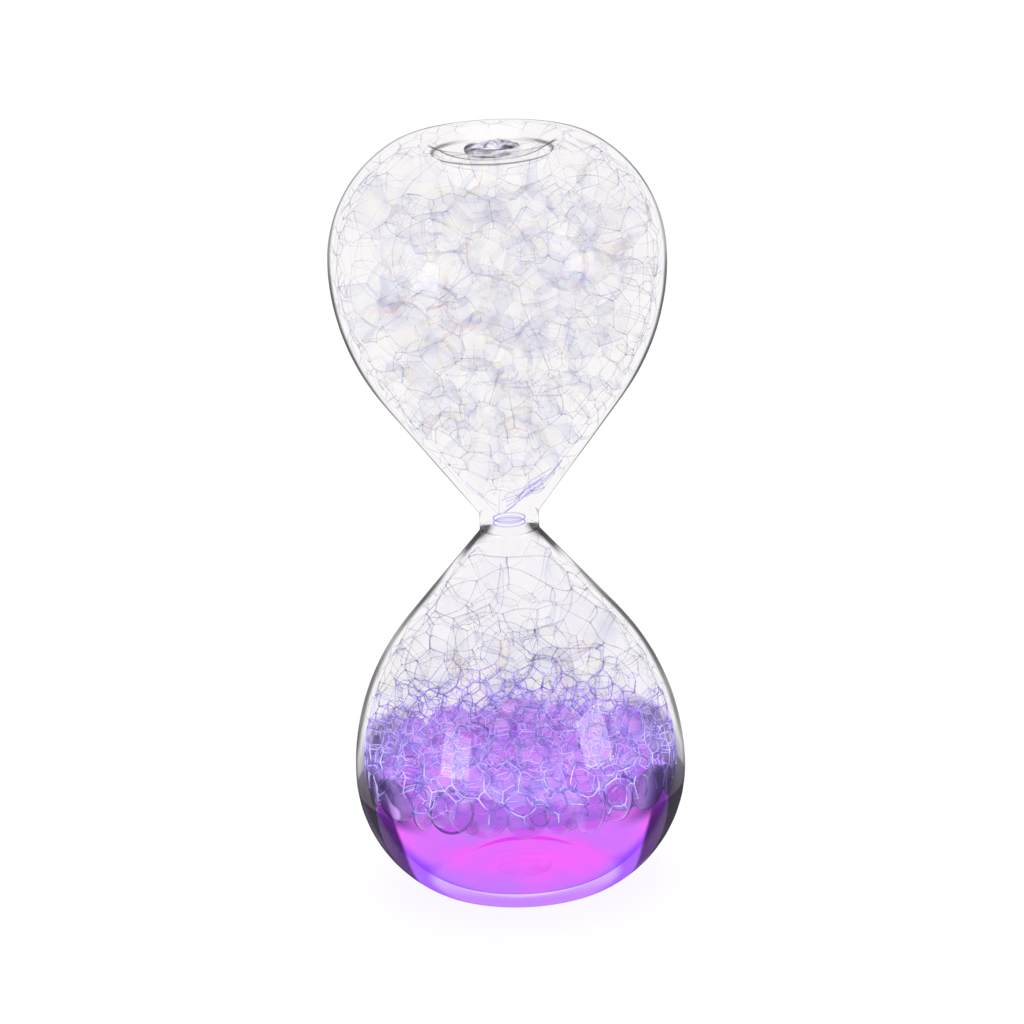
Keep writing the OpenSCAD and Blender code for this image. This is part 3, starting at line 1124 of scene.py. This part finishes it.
def wall_beads(name, count, finish, body, seed):
    """Bubbles along the waterline, pressed flat by the glass, side by side all the way round."""
    dice = random.Random(seed)
    widths = [dice.uniform(0.5, 1.6) for _ in range(count)]
    turn = 0.0
    shape = bmesh.new()
    for width in widths:
        slice_angle = math.tau * width / sum(widths)
        wide = slice_angle * wall_radius / 2
        tall = min(wide * dice.uniform(0.9, 1.3), bead_tallest)
        level = pool_level + 0.55 * tall + dice.uniform(-0.8, 0.4) * MM
        middle_turn = turn + slice_angle / 2
        arm = Vector((math.cos(middle_turn), math.sin(middle_turn), 0))
        seat = lower_wall.onto(arm * wall_radius + Vector((0, 0, level))).xy.length - bead_sink
        turned_out = Matrix.Rotation(middle_turn, 4, "Z")
        size = Matrix.Diagonal((bead_half, wide * 1.04, tall, 1))
        ball = Matrix.Translation(arm * seat + Vector((0, 0, level))) @ turned_out @ size
        made = bmesh.ops.create_uvsphere(shape, u_segments=24, v_segments=14, radius=1, matrix=ball)
        for vert in made["verts"]:
            side = Vector((vert.co.x, vert.co.y, 0)).normalized()
            bend = vert.co.dot(arm) - seat
            vert.co.xy = side.xy * (seat + bend)
            if lower_wall.room(vert.co) < 0:
                vert.co = lower_wall.onto(vert.co)
        turn += slice_angle
    return piece(name, shape, (finish,), body)


wall_beads("flattened_wall_bubbles", 26, bubble_skin, "rim_bubbles", 31)

# %% [markdown]
# ## Waist and seals
# The waist is a fat ring of melted glass. Each bulb is closed at its far end by a blob with a tip,
# where it was snapped off the blowpipe. All three are turned from the rings of the model's own
# solids. The upper blob has streaks of painted shade towards its outline, and the lower one hardly shows
# through the liquid.

# %% Weld and seal blobs
BLOB_SHADE = (0.16, 0.14, 0.18)
weld_skin = 0.8 * MM


def rings_of(node):
    """The radius and height of every ring of a turned node."""
    corners = (vert.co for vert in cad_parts[node].data.vertices)
    return {(round(co.xy.length, 5), round(co.z, 5)) for co in corners}


def outline_of(node):
    """The rings in order around the node's middle, from pole to pole, closed at both poles."""
    low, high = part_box(node)
    middle = (low.z + high.z) / 2
    rings = sorted(rings_of(node), key=lambda ring: math.atan2(ring[1] - middle, ring[0]))
    return [(0, rings[0][1])] + rings + [(0, rings[-1][1])]


def ring_section(node):
    """The rings in order around the middle of the section of a torus."""
    low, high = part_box(node)
    rings = rings_of(node)
    inner = min(ring[0] for ring in rings)
    outer = max(ring[0] for ring in rings)
    middle = ((inner + outer) / 2, (low.z + high.z) / 2)
    return sorted(rings, key=lambda ring: math.atan2(ring[1] - middle[1], ring[0] - middle[0]))


def blob_finish(name, strength):
    """Clear glass with streaks of painted shade towards its outline, as strong as it is told."""
    finish = Finish(name)
    edge = facing(finish)
    patches = rise(finish, cloud(finish, 3 * MM, 2.0), 0.42, 0.6)
    # Painted shade in streaks towards the outline.
    shade = rise(finish, edge, 0.25, 0.7) * patches * strength
    pale = 1 - 0.03 * strength
    body = mix(finish, shade, clear(finish, (pale, pale, 1.0)), clear(finish, BLOB_SHADE))
    return finish.done(mix(finish, 0.06 * strength, body, gleam(finish, (0.95, 0.95, 1.0), 0.1)))


weld_shape = turned(ring_section("neck_weld"))
weld_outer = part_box("neck_weld")[1].x - weld_skin
for face in weld_shape.faces:
    face.material_index = 0 if face.calc_center_median().xy.length > weld_outer else 1
piece("melted_waist", weld_shape, (upper_finish, joint_finish), "glass", ("neck_weld",))
for end, strength in (("upper", 1.0), ("lower", 0.05)):
    shape = turned(outline_of(f"{end}_seal_tip"), closed=False)
    seal_glass = blob_finish(f"{end}_seal_glass", strength)
    piece(f"{end}_seal_blob", shape, (seal_glass,), "glass", (f"{end}_seal_tip",))

# %% [markdown]
# ## The film in the waist, and the last trickle
# A soap film spans the waist inside a ring of liquid. Only the two rims of that ring catch the
# eye, so they are made as two thin hoops. The last of the liquid runs down the upper cone in fine
# lilac threads: most of them on one side, and a couple on the other.

# %% Finish of the thin liquid
def lilac_finish(name, light, dark):
    """Clear lilac, deeper towards its outline, with a little gloss."""
    finish = Finish(name)
    edge = facing(finish)
    body = mix(finish, rise(finish, edge, 0.1, 0.8), clear(finish, light), clear(finish, dark))
    return finish.done(mix(finish, 0.1, body, shine(finish, (0.8, 0.75, 1.0), 0.12)))


lilac_ring = lilac_finish("lilac_ring", (0.90, 0.89, 1.0), (0.58, 0.54, 0.86))
lilac_thread = lilac_finish("lilac_thread", (0.93, 0.92, 1.0), (0.66, 0.63, 0.90))
lilac_film = lilac_finish("lilac_film", (0.98, 0.97, 1.0), (0.88, 0.87, 0.98))

# %% Hoops and film
hoop_thickness = 0.12 * MM


def hoops(node, thickness, sections=12):
    """Two thin hoops of liquid, at the top and the bottom of a ring."""
    low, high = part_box(node)
    reach = high.x - thickness
    shape = bmesh.new()
    for level in (low.z + thickness, high.z - thickness):
        turns = (math.tau * part / sections for part in range(sections))
        ring = [(reach + thickness * math.cos(turn), level + thickness * math.sin(turn)) for turn in turns]
        hoop = turned(ring)
        mesh = bpy.data.meshes.new("hoop")
        hoop.to_mesh(mesh)
        hoop.free()
        shape.from_mesh(mesh)
        bpy.data.meshes.remove(mesh)
    return shape


hoop_shape = hoops("film_border", hoop_thickness)
piece("neck_hoops", hoop_shape, (lilac_ring,), "neck_film", ("film_border",))
film_shape = turned(outline_of("neck_film"), closed=False)
piece("neck_soap_film", film_shape, (lilac_film,), "neck_film", ("neck_film",))

# %% Threads of the trickle
trickle_thickness = 0.075 * MM
trickle_foot = 76.4  # the lowest start of a thread, in millimetres above the floor
MAIN_FLOW = (-75, -20, 87, 10)  # from azimuth, to azimuth, top in millimetres, number of threads
SIDE_FLOW = (-115, -150, 84, 2)


def trickle(start, end, low, high, sway, steps=14):
    """A path down the inside of the upper cone between two azimuths and two heights."""
    points = []
    for step in range(steps + 1):
        share = step / steps
        turn = math.radians(start + (end - start) * share + sway * math.sin(share * math.tau))
        level = low + (high - low) * share
        arm = Vector((math.cos(turn), math.sin(turn), 0))
        guess = Vector((0, 0, level)) + arm * 5 * MM
        for _ in range(12):
            on_wall = upper_wall.onto(guess)
            guess = Vector((on_wall.x, on_wall.y, level))
        points.append(Vector((guess.x, guess.y, level)) - arm * 0.2 * MM)
    return points


def even_thickness(spot):
    """The same all along a thread."""
    return trickle_thickness


dice = random.Random(41)
trickles = []
for start, end, top, count in (MAIN_FLOW, SIDE_FLOW):
    for _ in range(count):
        low = (trickle_foot + dice.uniform(0, 5)) * MM
        high = (top - dice.uniform(0, 5)) * MM
        spread = dice.uniform(-30, 30)
        trickles.append(trickle(start + spread, end + spread, low, high, dice.uniform(-10, 10)))
threads("draining_trickle", trickles, even_thickness, lilac_thread, "upper_foam")
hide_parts("draining_drop")

# %% Size of the visual model, and the end
boxes = {"cad": cad_box, "visual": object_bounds()}
{name: [list(corner) for corner in box] for name, box in boxes.items()}
